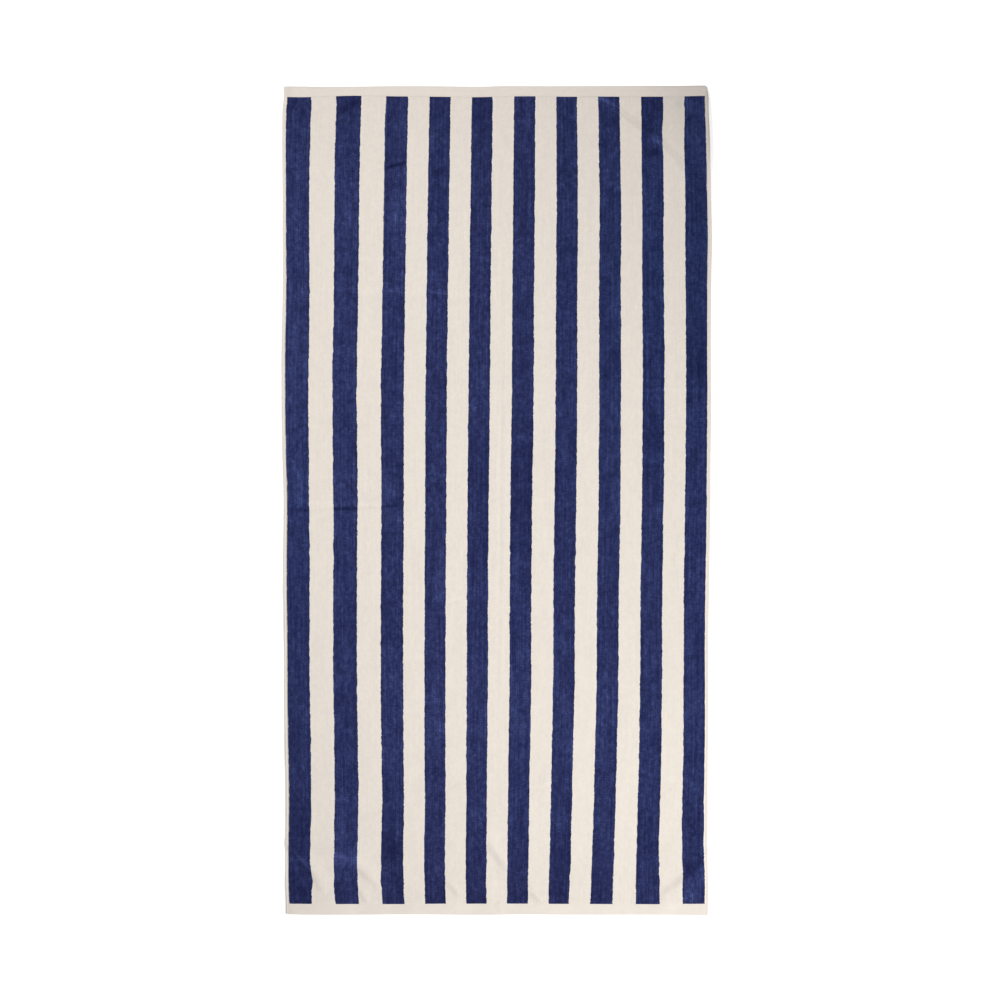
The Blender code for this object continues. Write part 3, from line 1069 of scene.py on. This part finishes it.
# %% [markdown]
# ### Flat woven hem
# The hem has no pile, only warp and weft that cross. Two fine waves, one for each, are multiplied
# to give that weave, and the cream is a touch greyer because no nap scatters the light.

# %% Woven hem
HEM_CREAM = (0.716, 0.656, 0.594)
WEAVE_SCALE = (1 / 0.0011, 1 / 0.0008, 1.0)


def wave(tree, place, direction, distortion):
    """Fine ribs, one beside the other in this direction, from 0 to 1."""
    inputs = {"Vector": place, "Scale": 0.16, "Distortion": distortion, "Detail": 1.0}
    return add(tree, "ShaderNodeTexWave", inputs, bands_direction=direction).outputs["Fac"]


def woven():
    made, tree, shader, place = new_finish("woven hem")
    fine = add(tree, "ShaderNodeMapping", {"Vector": place, "Scale": WEAVE_SCALE}).outputs[0]
    ribs, ends = wave(tree, fine, "Y", 0.6), wave(tree, fine, "X", 0.4)
    weave = math_node(tree, "MULTIPLY", ribs, ends)
    blots = grain(tree, place, 16, 9, seed=9.0)
    tone = tone_of(tree, ((weave, 0.08), (blots, 0.07)), 1.0)
    # The kept cream number paints shade here too: darker along the head right hem and its rim.
    tone = changed_by(tree, tone, kept_number(tree, "cream"), 1.0)
    tree.links.new(toned(tree, HEM_CREAM, tone), shader.inputs["Base Color"])
    emboss(tree, shader, weave, distance=0.0002, strength=0.5)
    set_values(shader, {"Roughness": 0.9, "Specular IOR Level": 0.15})
    return made


woven_finish = woven()
print("woven hem:", len(woven_finish.node_tree.nodes), "nodes")

# %% [markdown]
# The three finishes are material slots of one mesh. Each face of the mesh takes one of them, by
# the side it is on and by where its middle lies on the flat cloth.

# %% Finish by place
for finish in (velour_finish, looped_finish, woven_finish):
    cloth_mesh.materials.append(finish)
VELOUR, LOOPED, WOVEN = range(3)

face_count = len(cloth_mesh.polygons)
starts = np.empty(face_count, np.int32)
cloth_mesh.polygons.foreach_get("loop_start", starts)
corner_counts = np.diff(np.append(starts, len(corner_points)))
middle_s = np.add.reduceat(corner_flat[:, 0], starts) / corner_counts
middle_t = np.add.reduceat(corner_flat[:, 1], starts) / corner_counts
from_side, from_end = inset(middle_s, middle_t)
kinds = np.where(np.arange(face_count) < len(top_faces), VELOUR, LOOPED)
kinds = np.where((from_side < SIDE_HEM) | (from_end < END_HEM), WOVEN, kinds)
cloth_mesh.polygons.foreach_set("material_index", kinds.astype(np.int32))
cloth_mesh.update()
print("faces by finish:", np.bincount(kinds).tolist())

# %% [markdown]
# ## Hem stitches
# A lockstitch shows as short humps of thread, one after another along the seam. Geometry Nodes
# places them: a path is cut into even lengths, and each gets one small drawn-out ball, turned to
# follow the path, with a little disorder.

# %% Seam paths
SEAM_LIFT = 0.00002
SEAM_STOP = 0.003
ROW_PLACES, COLUMN_PLACES = 240, 440


def seam_point(s, t):
    """A place on top of the laid cloth."""
    x, y = laid([s], [t])
    s, t = np.array([[s]]), np.array([[t]])
    z = lift(x, y) + thickness(s, t) + nap_relief(x, y) + SEAM_LIFT
    return (x[0, 0], y[0, 0], z[0, 0])


def seam_lines():
    """The four seams as lists of flat places."""
    half_w, half_l = WIDTH / 2, LENGTH / 2
    far_w, far_l = half_w - SIDE_SEAM, half_l - END_SEAM
    sweep_w = np.linspace(-half_w + SEAM_STOP, half_w - SEAM_STOP, ROW_PLACES)
    sweep_l = np.linspace(-far_l, far_l, COLUMN_PLACES)
    for side in (-1, 1):
        yield [(s, side * far_l) for s in sweep_w]
        yield [(side * far_w, t) for t in sweep_l]


path_points, path_edges = [], []
for line in seam_lines():
    first = len(path_points)
    path_points += [seam_point(s, t) for s, t in line]
    path_edges += [(i, i + 1) for i in range(first, len(path_points) - 1)]
path_mesh = bpy.data.meshes.new("hem_stitches")
path_mesh.from_pydata(path_points, path_edges, [])
stitches = bpy.data.objects.new("hem_stitches", path_mesh)
bpy.context.scene.collection.objects.link(stitches)
print(len(path_points), "points on four seams")


# %% Thread
def thread():
    made, tree, shader = new_material("cream thread")
    place = add(tree, "ShaderNodeTexCoord").outputs["Object"]
    noise = add(tree, "ShaderNodeTexNoise", {"Vector": place, "Scale": 2600.0, "Detail": 1.0})
    tone = tone_of(tree, ((noise.outputs["Fac"], 0.25),), 1.0)
    tree.links.new(toned(tree, HEM_CREAM, tone), shader.inputs["Base Color"])
    set_values(shader, {"Roughness": 0.7})
    return made


thread_finish = thread()
print("cream thread:", len(thread_finish.node_tree.nodes), "nodes")

# %% Stitch tree
STITCH_SIZES = {"Pitch": 0.0031, "Stitch length": 0.0025, "Thread": 0.00055, "Disorder": 0.10}


def stitch_tree():
    tree = bpy.data.node_groups.new("stitches on a path", "GeometryNodeTree")
    tree.interface.new_socket("Geometry", in_out="INPUT", socket_type="NodeSocketGeometry")
    for name in STITCH_SIZES:
        tree.interface.new_socket(name, in_out="INPUT", socket_type="NodeSocketFloat")
    tree.interface.new_socket("Seed", in_out="INPUT", socket_type="NodeSocketInt")
    tree.interface.new_socket("Geometry", in_out="OUTPUT", socket_type="NodeSocketGeometry")
    given = add(tree, "NodeGroupInput").outputs
    curve = add(tree, "GeometryNodeMeshToCurve", {"Mesh": given["Geometry"]}).outputs[0]
    spaced = add(tree, "GeometryNodeResampleCurve",
                 {"Curve": curve, "Length": given["Pitch"]}, mode="LENGTH").outputs[0]
    ball = add(tree, "GeometryNodeMeshUVSphere", {"Segments": 6, "Rings": 4, "Radius": 0.5})
    size = add(tree, "ShaderNodeCombineXYZ",
               {0: given["Stitch length"], 1: given["Thread"], 2: given["Thread"]})
    stitch = add(tree, "GeometryNodeTransform",
                 {"Geometry": ball.outputs[0], "Scale": size.outputs[0]}).outputs[0]
    tangent = add(tree, "GeometryNodeInputTangent").outputs[0]
    turned = add(tree, "FunctionNodeAlignRotationToVector", {"Vector": tangent}, axis="X")
    low = add(tree, "ShaderNodeMath", {0: given["Disorder"], 1: -1.0}, operation="MULTIPLY")
    lean = add(tree, "FunctionNodeRandomValue", data_type="FLOAT")
    for name, value in (("Min", low.outputs[0]), ("Max", given["Disorder"]), ("Seed", given["Seed"])):
        socket = next(s for s in lean.inputs if s.name == name and s.enabled)
        tree.links.new(value, socket)
    lean_out = next(s for s in lean.outputs if s.enabled)
    yaw = add(tree, "FunctionNodeAxisAngleToRotation", {"Axis": (0, 0, 1), "Angle": lean_out})
    turned = add(tree, "FunctionNodeRotateRotation",
                 {"Rotation": turned.outputs[0], "Rotate By": yaw.outputs[0]})
    placed = add(tree, "GeometryNodeInstanceOnPoints",
                 {"Points": spaced, "Instance": stitch, "Rotation": turned.outputs[0]})
    real = add(tree, "GeometryNodeRealizeInstances", {"Geometry": placed.outputs[0]})
    dressed = add(tree, "GeometryNodeSetMaterial",
                  {"Geometry": real.outputs[0], "Material": thread_finish})
    add(tree, "NodeGroupOutput", {"Geometry": dressed.outputs[0]})
    return tree


stitcher = stitch_tree()
print("stitch tree:", len(stitcher.nodes), "nodes")

# %% Stitches along the seams
def settle(piece, tree, values):
    """Runs a Geometry Nodes tree on a piece and keeps its result as a plain mesh."""
    sockets = {item.name: item.identifier for item in tree.interface.items_tree
               if item.in_out == "INPUT"}
    modifier = piece.modifiers.new(tree.name, "NODES")
    modifier.node_group = tree
    for name, value in values.items():
        modifier[sockets[name]] = value
    bpy.context.view_layer.update()
    graph = bpy.context.evaluated_depsgraph_get()
    made = bpy.data.meshes.new_from_object(piece.evaluated_get(graph), depsgraph=graph)
    piece.modifiers.remove(modifier)
    piece.data = made
    return made


stitch_mesh = settle(stitches, stitcher, {**STITCH_SIZES, "Seed": 5})
stitch_mesh.shade_smooth()
print(len(stitch_mesh.polygons), "faces in the stitches")

# %% [markdown]
# ## The studio
# A white sweep under the towel, two soft boxes on a diagonal and a little light from all round.
# The sweep glows faintly and more so further out, as a lit backdrop does, so that it stays white.

# %% Floor
FLOOR_DROP, FLOOR_RADIUS = 0.0002, 40.0
bpy.ops.mesh.primitive_circle_add(
    vertices=96, radius=FLOOR_RADIUS, fill_type="TRIFAN", location=(0, 0, -FLOOR_DROP))
floor = bpy.context.object
floor.name = "floor"


def sweep():
    made, tree, shader = new_material("white sweep")
    set_values(shader, {"Base Color": (0.9, 0.9, 0.9, 1), "Roughness": 1.0,
                        "Specular IOR Level": 0.0, "Emission Color": (1, 1, 1, 1)})
    place = add(tree, "ShaderNodeTexCoord").outputs["Object"]
    away = add(tree, "ShaderNodeVectorMath", {0: place}, operation="LENGTH").outputs["Value"]
    glow = add(tree, "ShaderNodeMapRange", {
        "Value": away, "From Min": 1.0, "From Max": 1.5, "To Min": 0.31, "To Max": 0.8,
    }, interpolation_type="SMOOTHSTEP")
    tree.links.new(glow.outputs[0], shader.inputs["Emission Strength"])
    return made


floor.data.materials.append(sweep())
print("floor", 2 * FLOOR_RADIUS, "m across")

# %% Light from all round
world = bpy.data.worlds.new("studio")
bpy.context.scene.world = world
world.use_nodes = True
AMBIENT = 0.437
backdrop = world.node_tree.nodes["Background"]
seen = add(world.node_tree, "ShaderNodeLightPath").outputs["Is Camera Ray"]
brightness = add(world.node_tree, "ShaderNodeMapRange", {
    "Value": seen, "To Min": AMBIENT, "To Max": 1.0,
})
backdrop.inputs["Color"].default_value = (1, 1, 1, 1)
world.node_tree.links.new(brightness.outputs[0], backdrop.inputs["Strength"])
print("ambient", AMBIENT)

# %% Two soft boxes
from mathutils import Vector


class SoftBox(NamedTuple):
    name: str
    place: tuple
    aim: tuple
    watts: float
    spread: float


BOX_SIDE = 0.9
SOFT_BOXES = (
    SoftBox("foot soft box", (2.548, -1.162, 2.2), (-1.5, -0.392, 0.0), watts=27.6, spread=74.2),
    SoftBox("head soft box", (-2.41, 1.425, 2.2), (0.202, 0.671, 0.0), watts=5.1, spread=49.8),
)
for box in SOFT_BOXES:
    lamp = bpy.data.lights.new(box.name, "AREA")
    lamp.shape, lamp.size, lamp.energy = "SQUARE", BOX_SIDE, box.watts
    lamp.spread = np.radians(box.spread)
    holder = bpy.data.objects.new(box.name, lamp)
    holder.location = box.place
    holder.rotation_euler = (Vector(box.aim) - Vector(box.place)).to_track_quat("-Z", "Y").to_euler()
    holder.visible_camera = False
    bpy.context.scene.collection.objects.link(holder)
print(len(SOFT_BOXES), "soft boxes")

# %% [markdown]
# ## The camera
# It hangs straight above the towel. A lens of 85 mm from five metres up keeps the sides parallel.

# %% Camera
FRAME_WIDTH = 2.135
LENS, SENSOR = 85.0, 36.0
CAMERA_X, CAMERA_Y = 0.0085, -0.0005
camera_data = bpy.data.cameras.new("camera")
camera_data.lens, camera_data.sensor_width = LENS, SENSOR
camera = bpy.data.objects.new("camera", camera_data)
camera.location = (CAMERA_X, CAMERA_Y, FRAME_WIDTH * LENS / SENSOR + PILE_HIGH)
bpy.context.scene.collection.objects.link(camera)
bpy.context.scene.camera = camera
bpy.context.scene.view_settings.view_transform = "Standard"
print("camera height", round(camera.location.z, 3), "m")

# %% [markdown]
# ## Attaching the pieces
# The cloth stands for the imported solid, and both pieces ride with it.

for piece in (cloth, stitches):
    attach(piece, "root")
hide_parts("towel")
